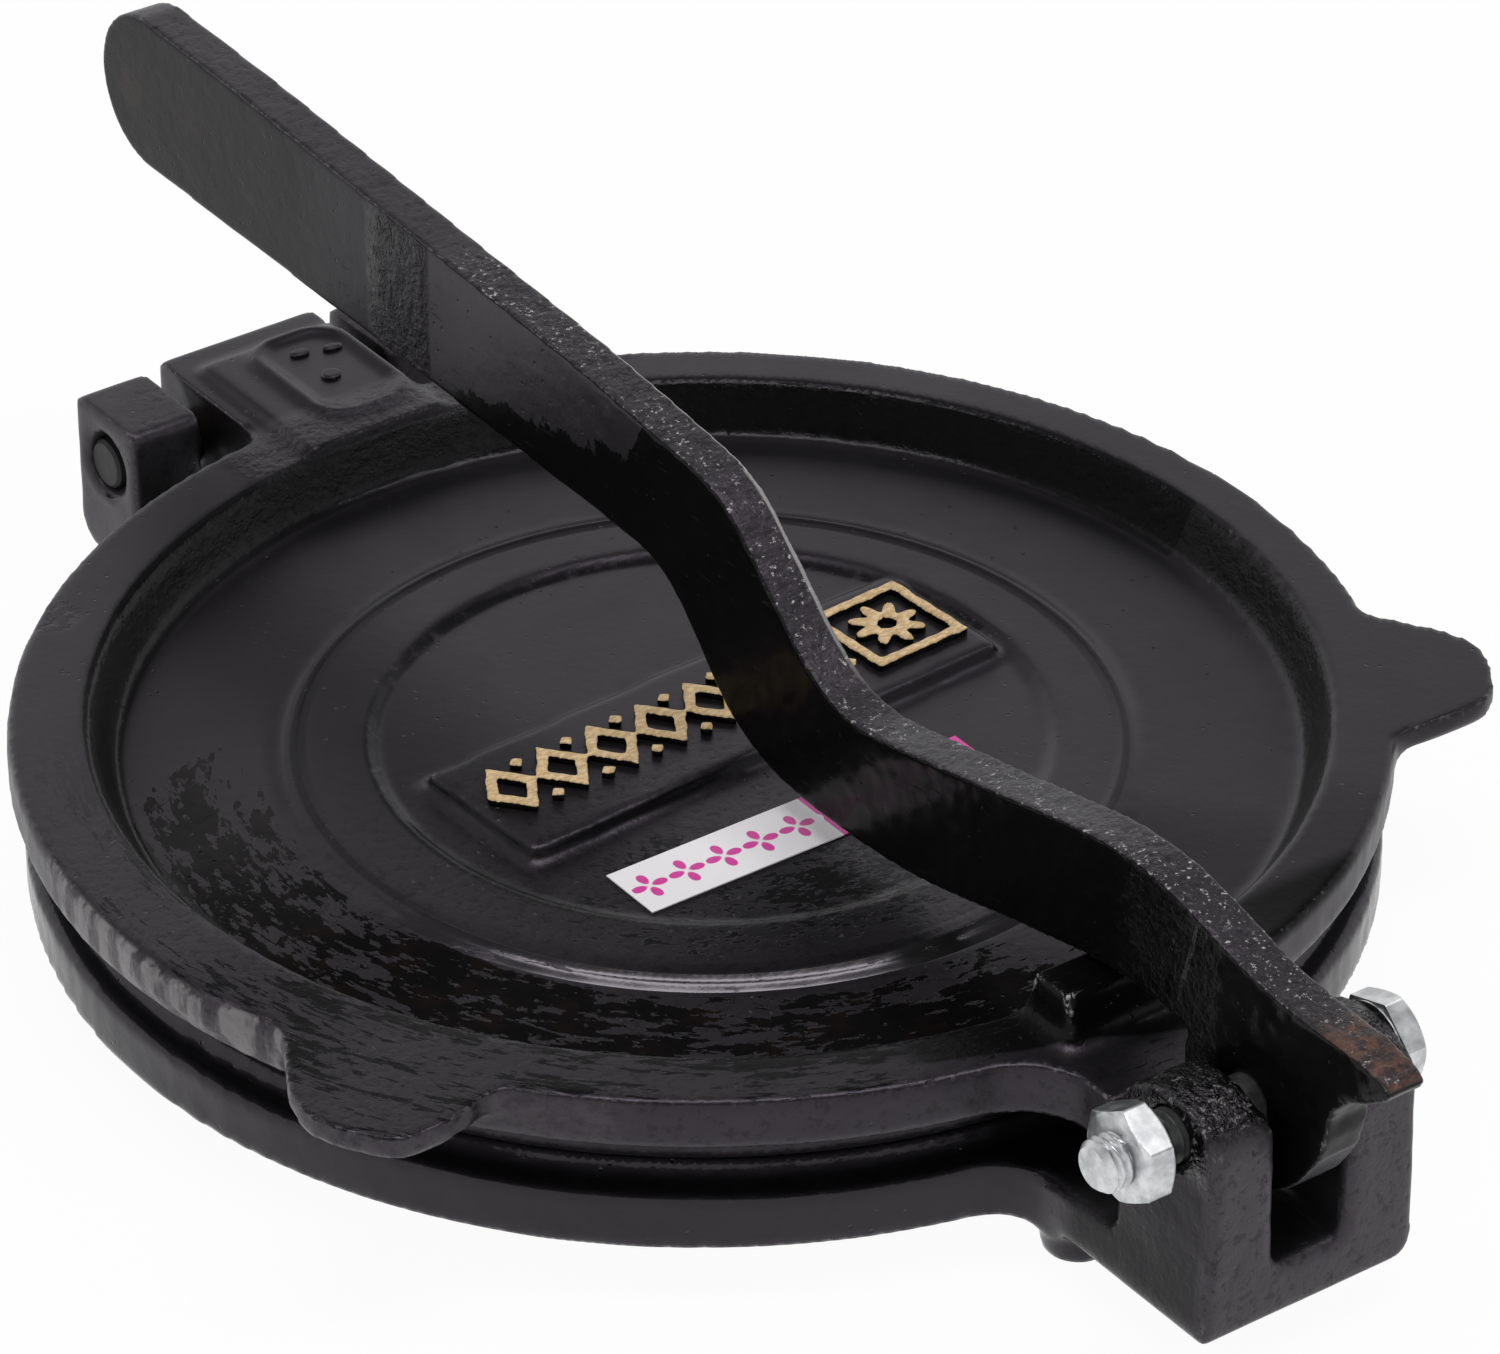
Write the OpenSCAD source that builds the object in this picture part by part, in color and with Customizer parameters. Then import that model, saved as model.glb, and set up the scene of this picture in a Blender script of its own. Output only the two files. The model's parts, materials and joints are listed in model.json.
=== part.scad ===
// Lever tortilla press in cast iron: two round plates on a rear hinge, and a
// flat lever that turns on a bolt at the front and presses the upper plate down.
// Plates are centred on the origin, the bolt is at the front (-Y), the hinge at
// the back (+Y), and the feet stand on Z = 0.

/* [Upper plate] */
// Outer radius of the upper plate
plate_r = 101.5; // [90:0.5:115]
// Height of the upper plate's outer rim
plate_rim_h = 8.3; // [6:0.1:10]
// Radius of the mouth of the recess in the upper plate
recess_r = 90.8; // [84:0.1:94]
// Depth of the recess in the upper plate
recess_depth = 7.8; // [6:0.1:8]
// Sideways offset of the recess, as the sand mould left it
recess_shift = 0.6; // [0:0.1:2]
// Sideways offset of the inner rings, as the sand mould left it
ring_shift = [1.4, 0.7]; // [0:0.1:3]
// Sideways offset of the rim from the hinge line
rim_shift = -0.9; // [-1.5:0.1:1.5]
// How far the right and the left finger tab stand out of the rim
tab_h = [15.1, 16]; // [10:0.1:18]
// Thickness of the finger tabs
tab_t = 3.9; // [3:0.1:6]

/* [Base] */
// Outer radius of the base plate
base_r = 100.1; // [90:0.1:112]
// Height of the base plate's outer rim
base_rim_h = 9.6; // [8:0.1:12]
// Radius of the two pressing faces
platen_r = 95.5; // [86:0.5:98]
// How far the lower pressing face stands above its rim
platen_rise = 2.4; // [1.5:0.1:3]
// Height of the feet under the base
foot_h = 5; // [3:0.5:8]
// Radius of a foot where it meets the floor
foot_r = 4; // [3:0.1:6]

/* [Lever] */
// Thickness of the lever
lever_t = 7.4; // [6:0.1:9]
// Radius of the lever's boss around the bolt
boss_r = 13.6; // [12:0.1:14]
// Radius of the rounded end of the handle
grip_r = 13.2; // [12:0.1:14]

/* [Front fork] */
// Width of the fork block that holds the lever, at its foot
fork_w = 37.3; // [34:0.1:42]
// Width of the fork's slot at its floor
slot_w = 11.6; // [10:0.1:13]
// Radius of the rounded top of each fork cheek
dome_r = 13.2; // [12:0.1:14]
// Diameter of the pivot bolt
bolt_d = 8; // [8:8]
// Width across the flats of the bolt head and nut
hex_af = 13; // [13:13]

/* [Rear hinge] */
// Width of the upper plate's hinge lug
lug_w = 28.6; // [26:0.2:31]
// Clear distance between the base's hinge ears
ear_gap = 34.8; // [33:0.2:38]
// Thickness of each hinge ear
ear_t = 12.6; // [10:0.2:14]
// Diameter of the hinge pin
pin_d = 8; // [6:0.5:9]

/* [Hidden] */
$fn = 96;

// Running clearance of the moving bores, and of the fixed ones, on the radius
run_clear = 0.08;
fix_clear = 0.05;

// Heights, from the floor up
base_z = foot_h;
base_rim_z = base_z + base_rim_h;
press_z = base_rim_z + platen_rise;
plate_gap = 0.2;
plate_low_z = press_z + plate_gap;
plate_z = 31.4;
plate_rim_z = plate_z - plate_rim_h;
floor_z = plate_z - recess_depth;
under_z = base_z + 4.8;
under_r = 88;

// Pivot of the lever and pin of the hinge, as [y, z]
pivot = [-128.8, 35.4];
hinge = [121.5, 21.5];
bolt_r = bolt_d / 2;
pin_r = pin_d / 2;
edge = 0.9;
rim_edge = 0.5;

// Fork, in side view and in front view; its sides lean in towards the top
fork_front = -139.1;
fork_back = -119;
fork_low_z = base_z + 1.1;
fork_fillet = 9;
neck_end = -105.5;
dome = [-128.8, 28.6];
cheek_top_z = 43;
cheek_right = [[18.05, cheek_top_z], [18.15, 31], [18.4, 22]];
cheek_left = [[-18.55, 8.5], [-17.8, 16.4], [-17.5, 24], [-17.45, 31], [-17, cheek_top_z]];
slot_lean = [[6.4, 27], [7, cheek_top_z]];

// Bolt and nut; the nut is not run home against the cheek
head_x = 18.2;
head_h = 4;
head_turn = 12.8;
bolt_tip_x = -29.8;
nut_x = -25.7;
nut_h = 4.8;
nut_turn = 1;

// Hinge ears
ear_back = 128.6;
ear_front = 111;
ear_x = ear_gap / 2;
pin_len = ear_gap + 2 * ear_t - 2;
mouth_r = 5.3;
mouth_depth = 2.6;
mouth_off = [-1.5, 1];

// Tongue, striker bar and lug of the upper plate
tongue_w = 30;
tongue_end = -114.6;
tongue_fillet = 12;
striker_x = [-11.3, 12];
striker_foot = [-101.3, -90.8];
striker_top = [-99.7, -91.6];
striker_h = 7.2;
lug_back = 130.1;
lug_shift = 0.5;
lug_fillet = 3.6;
lug_boss_r = 8.2;
lug_pad = [24.6, 32, 1.2];
lug_pad_at = [2.3, 106.8];
bead = [17.6, 27.4];
bead_at = [5.4, 109.4];
bead_w = 1.6;
bead_h = 0.8;
bead_r = 7;

// Rings and name pad in the recess
ring_out_r = 62;
ring_in_r = 50.3;
ring_h = 1;
pad = [88, 26, 2.3];
pad_at = [4, 3.1];
pad_turn = 3.5;

// Finger tabs: direction, the angles that each one spans to either side, and how
// square its shoulder is there
tab_turn = [-32.2, -149];
tab_span = [[10.3, 10.3], [12.1, 8.3]];
tab_square = [[1.6, 1.6], [1.45, 2]];
// Stub of the casting gate, ground off by hand at the front left
gate_turn = -171;
gate_span = [10, 10];
gate_square = [1.6, 1.6];
gate_h = 1.2;
gate_t = 4.8;

// Feet, as [x, y]
front_foot = [12.2, -104.6];
rear_foot = [45, 72];

// Label stuck in the recess
label = [62.5, 11.4, 0.2];
label_at = [-1.5, -26.8];

// Upper and lower edges of the lever in side view, as [y, z]
lever_top = [
    [146.5, 81.6], [120, 80.6], [90, 78.8], [60, 76.9], [30, 75.1], [12, 73.4],
    [0, 72.1], [-6, 70.8], [-12, 67.6], [-20, 60.3], [-28, 53.3], [-35, 49.6],
    [-43, 48.9], [-55, 51.1], [-75, 55.2], [-92, 58.9], [-105, 60], [-116, 58.3],
    [-126, 55.7], [-136, 54.5], [-148, 54.2], [-154.6, 53.4]
];
lever_heel = [
    [-156.3, 51.8], [-155.5, 50.3], [-152.3, 48], [-148.4, 46], [-146.1, 43.6],
    [-145.2, 41], [-144.9, 38], [-143.8, 34], [-141.9, 31], [-139.8, 28],
    [-137, 25.1], [-133.5, 22.8], [-129.6, 21.9]
];
lever_low = [
    [-115.5, 39.4], [-108, 40.4], [-100, 39.9], [-92, 38.9], [-80, 36.1],
    [-68, 33.4], [-58, 31.2], [-48, 29.8], [-38, 29.3], [-28, 29.4], [-20, 30.5],
    [-13, 33.4], [-8, 37.2], [-3.5, 42], [1.5, 47.1], [7, 50.8], [14, 52.2],
    [30, 52.7], [60, 53.5], [100, 54.4], [146.5, 55.2]
];
// Half thickness of the lever along its length: the heel is drawn thinner
heel_half = 3.2;
heel_thin_y = -141;

// ---- shared helpers -------------------------------------------------------

// Points on an arc about a centre, from one angle to another
function arc(at, r, from, to, n = 12) =
    [for (i = [0 : n]) let(a = from + (to - from) * i / n) at + r * [cos(a), sin(a)]];

// One point of a smooth curve through four neighbouring points
function blend_point(a, b, c, d, t) =
    0.5 * (2 * b + (c - a) * t + (2 * a - 5 * b + 4 * c - d) * t * t
           + (3 * b - a - 3 * c + d) * t * t * t);

// Smooth curve through every listed point
function smooth(pts, n = 4) =
    let(last = len(pts) - 1)
    [for (i = [0 : last - 1], k = [0 : n - 1])
        blend_point(pts[max(i - 1, 0)], pts[i], pts[i + 1],
                    pts[min(i + 2, last)], k / n),
     pts[last]];

// Outline of a rounded lobe that stands out of a disc, with a span to each side
function lobe(r, h, turn, span, square, n = 24) =
    concat(
        [for (i = [-n : n])
            let(u = abs(i) / n, k = i < 0 ? 0 : 1, side = (2 * k - 1) * span[k],
                out = r + h * (1 + cos(180 * pow(u, square[k]))) / 2)
            out * [cos(turn + side * u), sin(turn + side * u)]],
        [(r - 4) * [cos(turn + span[1]), sin(turn + span[1])],
         (r - 4) * [cos(turn - span[0]), sin(turn - span[0])]]);

// A side view drawn in [y, z], given a thickness along X
module side_slab(x, t) {
    translate([x, 0, 0])
        rotate([90, 0, 90])
            linear_extrude(t) children();
}

// A straight bar across the press, round or six-sided
module cross_bar(x, len, r, at, sides = 96) {
    translate([x, at[0], at[1]])
        rotate([0, 90, 0])
            cylinder(h = len, r = r, $fn = sides);
}

// Hollow corner between a disc and the side, at x = half, of a strip in front of it
module root_fillet(disc_r, half, f) {
    cy = -sqrt(pow(disc_r + f, 2) - pow(half + f, 2));
    foot = disc_r / (disc_r + f) * [half + f, cy];
    difference() {
        polygon([[half - 1, cy], [half + f, cy], foot * 0.99, [half - 1, cy * 0.9]]);
        translate([half + f, cy]) circle(f);
    }
}

// Straight-sided strip that leaves a disc with hollow corners
module strip_from_disc(disc_r, w, end, f) {
    translate([-w / 2, end]) square([w, -end - disc_r * 0.8]);
    for (side = [-1, 1]) scale([side, 1]) root_fillet(disc_r, w / 2, f);
}

// Hexagon across the press, its corners cut back at one end or at both
module hex_body(x, h, turn, near_cut, far_cut) {
    corner_r = hex_af / 2 / cos(30);
    face_r = hex_af / 2 - 0.3;
    translate([x, pivot[0], pivot[1]])
        rotate([turn, 0, 0])
            intersection() {
                cross_bar(0, h, corner_r, [0, 0], 6);
                rotate([0, 90, 0])
                    rotate_extrude()
                        polygon([[0, 0], [near_cut > 0 ? face_r : corner_r + 1, 0],
                                 [corner_r + 0.2, near_cut], [corner_r + 0.2, h - far_cut],
                                 [far_cut > 0 ? face_r : corner_r + 1, h], [0, h]]);
            }
}

// ---- base casting ---------------------------------------------------------

module base_disc() {
    translate([rim_shift / 2, 0, 0])
        rotate_extrude()
            polygon([[0, under_z], [under_r - 1.5, under_z], [under_r, base_z],
                     [base_r - 0.4, base_z], [base_r, base_z + 0.4],
                     [base_r, base_rim_z - edge], [base_r - edge, base_rim_z],
                     [platen_r, base_rim_z], [platen_r, press_z - edge],
                     [platen_r - edge, press_z], [0, press_z]]);
}

// The fork seen from the side, as [y, z]
module fork_side() {
    side_slab(-fork_w, 2 * fork_w)
        polygon(concat(
            [[neck_end + 10, base_z], [neck_end, base_z],
             [neck_end - 3.5, fork_low_z], [fork_front + 0.7, fork_low_z],
             [fork_front, fork_low_z + 0.7]],
            arc(dome, dome_r, 141, 43, 24),
            [[fork_back, base_rim_z], [neck_end + 10, base_rim_z]]));
}

// The fork seen from the front, as [x, z], drawn back to the neck
module fork_face() {
    r = 3.5;
    translate([0, neck_end, 0])
        rotate([90, 0, 0])
            linear_extrude(neck_end - fork_front + 1)
                polygon(concat(
                    [[-fork_w / 2 + 0.7, fork_low_z]],
                    cheek_left,
                    [for (i = [1 : -1 : 0]) [-slot_lean[i][0], slot_lean[i][1]]],
                    [[-slot_w / 2, base_rim_z], [slot_w / 2, base_rim_z]],
                    slot_lean, cheek_right,
                    arc([fork_w / 2 - r, fork_low_z + r], r, 0, -90, 8)));
}

module fork() {
    difference() {
        intersection() {
            fork_side();
            union() {
                fork_face();
                translate([0, 0, base_z])
                    linear_extrude(base_rim_z - base_z)
                        strip_from_disc(base_r, fork_w - 0.5, neck_end - 6, fork_fillet);
            }
        }
        cross_bar(-fork_w, 2 * fork_w, bolt_r + fix_clear, pivot);
    }
}

module hinge_ear() {
    difference() {
        side_slab(ear_x, ear_t)
            difference() {
                polygon(concat(
                    [[88, base_z]],
                    arc([ear_back - 5, base_z + 5], 5, -90, 0, 6),
                    arc([ear_back - 1.5, plate_z - 1.5], 1.5, 0, 90, 4),
                    arc([ear_front + 1.5, plate_z - 1.5], 1.5, 90, 180, 4),
                    arc([ear_front - 3, base_rim_z + 3], 3, 0, -90, 4),
                    [[88, base_rim_z]]));
                translate(hinge) circle(pin_r + fix_clear);
            }
        cross_bar(ear_x + ear_t - mouth_depth, mouth_depth + 1, mouth_r,
                  hinge + mouth_off);
    }
}

module foot(at) {
    translate([at[0], at[1], 0])
        rotate_extrude()
            polygon([[0, 0], [foot_r, 0], [foot_r + 0.9, 0.5], [foot_r + 1.3, 1.6],
                     [foot_r + 1.9, base_z + 2], [foot_r + 1.9, under_z + 0.5],
                     [0, under_z + 0.5]]);
}

module base_plate() {
    color("#2b2a2b") union() {
        base_disc();
        fork();
        for (side = [0, 1]) mirror([side, 0, 0]) {
            hinge_ear();
            foot(front_foot);
            foot(rear_foot);
        }
        translate([-fork_w / 4, -95, base_z + 1])
            cube([fork_w / 2, 180, under_z - base_z]);
    }
}

// ---- upper plate casting --------------------------------------------------

module plate_disc() {
    translate([rim_shift, 0, 0]) {
        rotate_extrude()
            polygon([[0, plate_low_z], [platen_r - edge, plate_low_z],
                     [platen_r, plate_low_z + edge], [platen_r, plate_rim_z],
                     [plate_r - edge, plate_rim_z], [plate_r, plate_rim_z + edge],
                     [plate_r, plate_z - rim_edge], [plate_r - rim_edge, plate_z],
                     [0, plate_z]]);
        for (i = [0, 1])
            translate([0, 0, plate_z - tab_t])
                linear_extrude(tab_t)
                    polygon(lobe(plate_r, tab_h[i], tab_turn[i], tab_span[i], tab_square[i]));
        translate([0, 0, plate_z - rim_edge - gate_t])
            linear_extrude(gate_t)
                polygon(lobe(plate_r, gate_h, gate_turn, gate_span, gate_square));
    }
}

module recess() {
    translate([recess_shift, 0, 0])
        rotate_extrude()
            polygon([[0, floor_z], [recess_r - 4.6, floor_z],
                     [recess_r - 3.6, floor_z + 0.5], [recess_r - 3, floor_z + 1.6],
                     [recess_r - 0.6, plate_z - 1.2], [recess_r + 0.2, plate_z - 0.3],
                     [recess_r + 0.6, plate_z + 0.1], [recess_r + 0.6, plate_z + 1],
                     [0, plate_z + 1]]);
}

module rings() {
    translate([ring_shift[0], ring_shift[1], floor_z])
        rotate_extrude()
            polygon([[ring_in_r, -0.5], [ring_in_r, ring_h - 0.2],
                     [ring_in_r + 0.3, ring_h], [ring_out_r - 1.2, ring_h],
                     [ring_out_r, ring_h * 0.4], [ring_out_r + 1, 0],
                     [ring_out_r + 1, -0.5]]);
}

module name_pad() {
    translate([pad_at[0], pad_at[1], floor_z - 0.5])
        rotate([0, 0, pad_turn])
            translate([-pad[0] / 2, -pad[1] / 2, 0])
                cube([pad[0], pad[1], pad[2] + 0.5]);
}

// Bar across the front of the plate, with sloping sides and ends, that the
// lever bears on
module striker_bar() {
    top = plate_z + striker_h;
    intersection() {
        side_slab(striker_x[0] - 3, striker_x[1] - striker_x[0] + 6)
            polygon([[striker_foot[0] - 1.4, plate_z - 0.5],
                     [striker_foot[1] + 1.4, plate_z - 0.5],
                     [striker_foot[1], plate_z + 1.2],
                     [striker_top[1], top - edge], [striker_top[1] - edge, top],
                     [striker_top[0] + edge, top], [striker_top[0], top - edge],
                     [striker_foot[0], plate_z + 1.2]]);
        translate([0, striker_foot[1] + 3, 0])
            rotate([90, 0, 0])
                linear_extrude(striker_foot[1] - striker_foot[0] + 6)
                    polygon([[striker_x[0] - 2, plate_z - 0.5],
                             [striker_x[1] + 2, plate_z - 0.5],
                             [striker_x[1] + 0.6, plate_z + 1.2],
                             [striker_x[1], top - edge], [striker_x[1] - edge, top],
                             [striker_x[0] + edge, top], [striker_x[0], top - edge],
                             [striker_x[0] - 0.6, plate_z + 1.2]]);
    }
}

module hinge_lug() {
    side_slab(lug_shift - lug_w / 2, lug_w)
        polygon(concat(
            [[92, plate_z], [92, plate_rim_z], [103, plate_rim_z]],
            arc(hinge, lug_boss_r, 230, 360, 14),
            arc([lug_back - 1.2, plate_z - 1.2], 1.2, 0, 90, 4)));
}

module lug_fillets() {
    off = lug_shift - rim_shift;
    translate([rim_shift, 0, plate_rim_z])
        linear_extrude(plate_rim_h - 0.2)
            for (side = [-1, 1]) scale([side, -1])
                root_fillet(plate_r - 0.1, lug_w / 2 + side * off - 0.1, lug_fillet);
}

// Raised pad on the lug, with a rounded bead around a bare field
module lug_panel() {
    translate([lug_pad_at[0] - lug_pad[0] / 2, lug_pad_at[1] - lug_pad[1] / 2, plate_z - 0.5])
        cube([lug_pad[0], lug_pad[1], lug_pad[2] + 0.5]);
    translate([bead_at[0], bead_at[1], plate_z + lug_pad[2] - 0.2])
        linear_extrude(bead_h + 0.2)
            difference() {
                bead_outline(0);
                bead_outline(bead_w);
            }
}

module bead_outline(inset) {
    hull()
        for (x = [-1, 1], y = [-1, 1])
            translate([x * (bead[0] / 2 - bead_r), y * (bead[1] / 2 - bead_r)])
                circle(bead_r - inset, $fn = 32);
}

module upper_plate() {
    color("#2b2a2b") difference() {
        union() {
            difference() {
                union() {
                    plate_disc();
                    translate([0, 0, plate_rim_z])
                        linear_extrude(plate_rim_h)
                            strip_from_disc(plate_r, tongue_w, tongue_end, tongue_fillet);
                    hinge_lug();
                    lug_fillets();
                }
                recess();
            }
            striker_bar();
            rings();
            name_pad();
            lug_panel();
        }
        cross_bar(-lug_w, 2 * lug_w, pin_r + run_clear, hinge);
    }
}

// ---- lever ----------------------------------------------------------------

// The lever seen from above, as [x, y]
module lever_plan() {
    half = lever_t / 2;
    polygon([[half, 170], [half, heel_thin_y], [heel_half, -160],
             [-heel_half, -160], [-half, heel_thin_y], [-half, 170]]);
}

module lever() {
    color("#262526")
        difference() {
            intersection() {
                side_slab(-lever_t, 2 * lever_t)
                    polygon(concat(
                        smooth(lever_top), lever_heel,
                        arc(pivot, boss_r, 280, 375, 20),
                        smooth(lever_low),
                        arc([146.5, (lever_top[0][1] + 55.2) / 2], grip_r, -85, 85, 16)));
                linear_extrude(100) lever_plan();
            }
            cross_bar(-lever_t, 2 * lever_t, bolt_r + run_clear, pivot);
        }
}

// ---- fasteners and label --------------------------------------------------

module pivot_bolt() {
    color("#c9ccce") union() {
        hex_body(head_x, head_h, head_turn, 0, 0.7);
        translate([bolt_tip_x, pivot[0], pivot[1]])
            rotate([0, 90, 0])
                rotate_extrude()
                    polygon([[0, 0], [bolt_r - 0.7, 0], [bolt_r, 1],
                             [bolt_r, head_x - bolt_tip_x + 1],
                             [0, head_x - bolt_tip_x + 1]]);
    }
}

module pivot_nut() {
    color("#c9ccce") difference() {
        hex_body(nut_x, nut_h, nut_turn, 0.65, 0.65);
        cross_bar(nut_x - 1, nut_h + 2, bolt_r + fix_clear, pivot);
    }
}

module hinge_pin() {
    color("#3a3838")
        translate([-pin_len / 2, hinge[0], hinge[1]])
            rotate([0, 90, 0])
                rotate_extrude()
                    polygon([[0, 0], [pin_r - 0.5, 0], [pin_r, 0.5], [pin_r, pin_len - 0.5],
                             [pin_r - 0.5, pin_len], [0, pin_len]]);
}

module label() {
    color("#e9e4e6")
        translate([label_at[0] - label[0] / 2, label_at[1] - label[1] / 2, floor_z])
            cube(label);
}

base_plate();
upper_plate();
lever();
pivot_bolt();
pivot_nut();
hinge_pin();
label();
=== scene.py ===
import json
import math

import bmesh
import bpy
from mathutils import Matrix, Vector, noise


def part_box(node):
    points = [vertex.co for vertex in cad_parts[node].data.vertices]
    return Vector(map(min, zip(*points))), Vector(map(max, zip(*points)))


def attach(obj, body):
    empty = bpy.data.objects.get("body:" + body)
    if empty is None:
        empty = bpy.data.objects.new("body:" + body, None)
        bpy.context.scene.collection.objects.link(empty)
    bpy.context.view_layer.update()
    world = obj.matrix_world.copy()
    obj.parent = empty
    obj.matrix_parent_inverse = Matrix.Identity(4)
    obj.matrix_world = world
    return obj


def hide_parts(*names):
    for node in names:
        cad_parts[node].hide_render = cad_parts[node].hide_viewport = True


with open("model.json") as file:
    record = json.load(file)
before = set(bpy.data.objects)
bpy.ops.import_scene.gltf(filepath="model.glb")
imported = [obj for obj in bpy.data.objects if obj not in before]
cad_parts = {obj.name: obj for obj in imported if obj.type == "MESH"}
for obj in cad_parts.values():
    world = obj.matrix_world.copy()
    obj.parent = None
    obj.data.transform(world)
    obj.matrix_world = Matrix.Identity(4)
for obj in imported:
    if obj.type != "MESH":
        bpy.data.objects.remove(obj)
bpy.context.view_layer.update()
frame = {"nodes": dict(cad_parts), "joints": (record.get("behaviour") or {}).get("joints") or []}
cad = frame["nodes"]

# ---- camera -------------------------------------------------------------------
# A long lens about a metre away, from the front left and above, so that the round
# plates are hardly distorted.

camera_place = (-0.5085, -0.7111, 0.5938)
camera_turn = math.radians(-35.733)
camera_dip = math.radians(32.488)
camera_roll = math.radians(-0.02)

camera_data = bpy.data.cameras.new("camera")
camera_data.lens = 170.41
camera_data.shift_x = 0.0174
camera_data.shift_y = -0.0113
camera = bpy.data.objects.new("camera", camera_data)
camera.matrix_world = (
    Matrix.Translation(camera_place)
    @ Matrix.Rotation(camera_turn, 4, "Z")
    @ Matrix.Rotation(math.pi / 2 - camera_dip, 4, "X")
    @ Matrix.Rotation(camera_roll, 4, "Z")
)
bpy.context.scene.collection.objects.link(camera)
bpy.context.scene.camera = camera
bpy.context.scene.view_settings.view_transform = "Standard"

# ---- studio -------------------------------------------------------------------
# White paper walls up to about 37 degrees, a dark ceiling above them, and one long
# soft lamp overhead, which the enamel's edges and fillets mirror as bright streaks.


class Wire:
    """An output in a node tree. Arithmetic on it adds the Math nodes that do the sum."""

    def __init__(self, shader, socket):
        self.shader = shader
        self.socket = socket

    def math(self, operation, *others):
        values = dict(enumerate((self, *others)))
        return self.shader.node("Math", {"operation": operation}, values)

    def __add__(self, other):
        return self.math("ADD", other)

    def __sub__(self, other):
        return self.math("SUBTRACT", other)

    def __rsub__(self, other):
        return self.shader.node("Math", {"operation": "SUBTRACT"}, {0: other, 1: self})

    def __mul__(self, other):
        return self.math("MULTIPLY", other)

    def __pow__(self, other):
        return self.math("POWER", other)

    def __neg__(self):
        return self.math("MULTIPLY", -1.0)

    def __abs__(self):
        return self.math("ABSOLUTE")

    __radd__ = __add__
    __rmul__ = __mul__

    def peak(self, other):
        """The larger of the two."""
        return self.math("MAXIMUM", other)

    def cap(self, other):
        """The smaller of the two."""
        return self.math("MINIMUM", other)

    def ramp(self, low, high):
        """0 below low and 1 above high, with a smooth rise between, or the other way round."""
        return self.shader.node(
            "MapRange",
            {"interpolation_type": "SMOOTHSTEP"},
            {"Value": self, "From Min": low, "From Max": high},
        )

    def between(self, rise, fall):
        """1 between two ramps, each given as where it is 0 and where it is 1."""
        return self.ramp(*rise) * self.ramp(*fall)


class Shader:
    """A node tree, with one method that adds any node to it."""

    def __init__(self, owner):
        owner.use_nodes = True
        self.tree = owner.node_tree
        self.tree.nodes.clear()

    def node(self, kind, settings=None, sockets=None, out=0):
        made = self.tree.nodes.new("ShaderNode" + kind)
        for key, value in (settings or {}).items():
            setattr(made, key, value)
        for key, value in (sockets or {}).items():
            if isinstance(value, Wire):
                self.tree.links.new(value.socket, made.inputs[key])
            else:
                made.inputs[key].default_value = value
        return Wire(self, made.outputs[out]) if made.outputs else None

    def up(self):
        """How far the surface faces upwards, from -1 to 1."""
        facing = self.node("TexCoord", out="Normal")
        return self.node("SeparateXYZ", None, {0: facing}, 2)

    def edge(self, low, high):
        """1 on outward edges."""
        return self.node("NewGeometry", out="Pointiness").ramp(low, high)

    def place(self):
        """Object coordinates, whole and as x, y and z in millimetres."""
        spot = self.node("TexCoord", out="Object")
        spot = self.node("VectorMath", {"operation": "SCALE"}, {0: spot, "Scale": 1000.0})
        return spot, *(self.node("SeparateXYZ", None, {0: spot}, i) for i in range(3))

    def distance(self, spot, place):
        """How far a spot is from a place, in millimetres."""
        return self.node("VectorMath", {"operation": "DISTANCE"}, {0: spot, 1: place}, "Value")

    def grain(self, spot, size, stretch=(1, 1, 1), detail=3.0, rough=0.55, twist=0.0):
        """Noise from 0 to 1, its lumps that many millimetres across."""
        spread = [1 / (size * s) for s in stretch]
        spot = self.node("VectorMath", {"operation": "MULTIPLY"}, {0: spot, 1: spread})
        look = {"Vector": spot, "Scale": 1.0, "Detail": detail, "Roughness": rough}
        return self.node("TexNoise", None, {**look, "Distortion": twist})

    def blend(self, factor, first, second):
        """A colour between two others."""
        sockets = {"Factor": factor, 6: first, 7: second}
        return self.node("Mix", {"data_type": "RGBA"}, sockets, 2)

    def relief(self, height):
        """A normal bent by a height in millimetres."""
        return self.node("Bump", None, {"Strength": 1.0, "Distance": 0.001, "Height": height})

    def cover(self, look):
        """Ends a material in one Principled surface with this look."""
        face = self.node("BsdfPrincipled", None, look)
        self.node("OutputMaterial", None, {"Surface": face})


walls_top = (0.622, 0.604)  # sine of the height where the walls fade into the ceiling
ceiling_light = 0.07
lamp_place = (0.12, -0.09, 1.5)
lamp_turn = math.radians(-36)

world = bpy.data.worlds.new("studio")
sky = Shader(world)
direction = sky.node("TexCoord", out="Generated")
walls = sky.node("SeparateXYZ", None, {0: direction}, 2).ramp(*walls_top)
seen = sky.node("LightPath", out="Is Camera Ray")
light = seen.peak(ceiling_light + (1 - ceiling_light) * walls)
glow = sky.node("Background", None, {"Color": (1, 1, 1, 1), "Strength": light})
sky.node("OutputWorld", None, {"Surface": glow})
bpy.context.scene.world = world

lamp_data = bpy.data.lights.new("overhead", "AREA")
lamp_data.shape = "RECTANGLE"
lamp_data.size = 1.6
lamp_data.size_y = 0.22
lamp_data.energy = 15.0
lamp = bpy.data.objects.new("overhead", lamp_data)
lamp.matrix_world = Matrix.Translation(lamp_place) @ Matrix.Rotation(lamp_turn, 4, "Z")
bpy.context.scene.collection.objects.link(lamp)

# ---- paper --------------------------------------------------------------------
# A wide sheet of matt white paper under the press. It looks pure white and still
# keeps a little of the press's shadow.


def surface(name):
    """A new material and the shader that fills it."""
    material = bpy.data.materials.new(name)
    return material, Shader(material)


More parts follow.
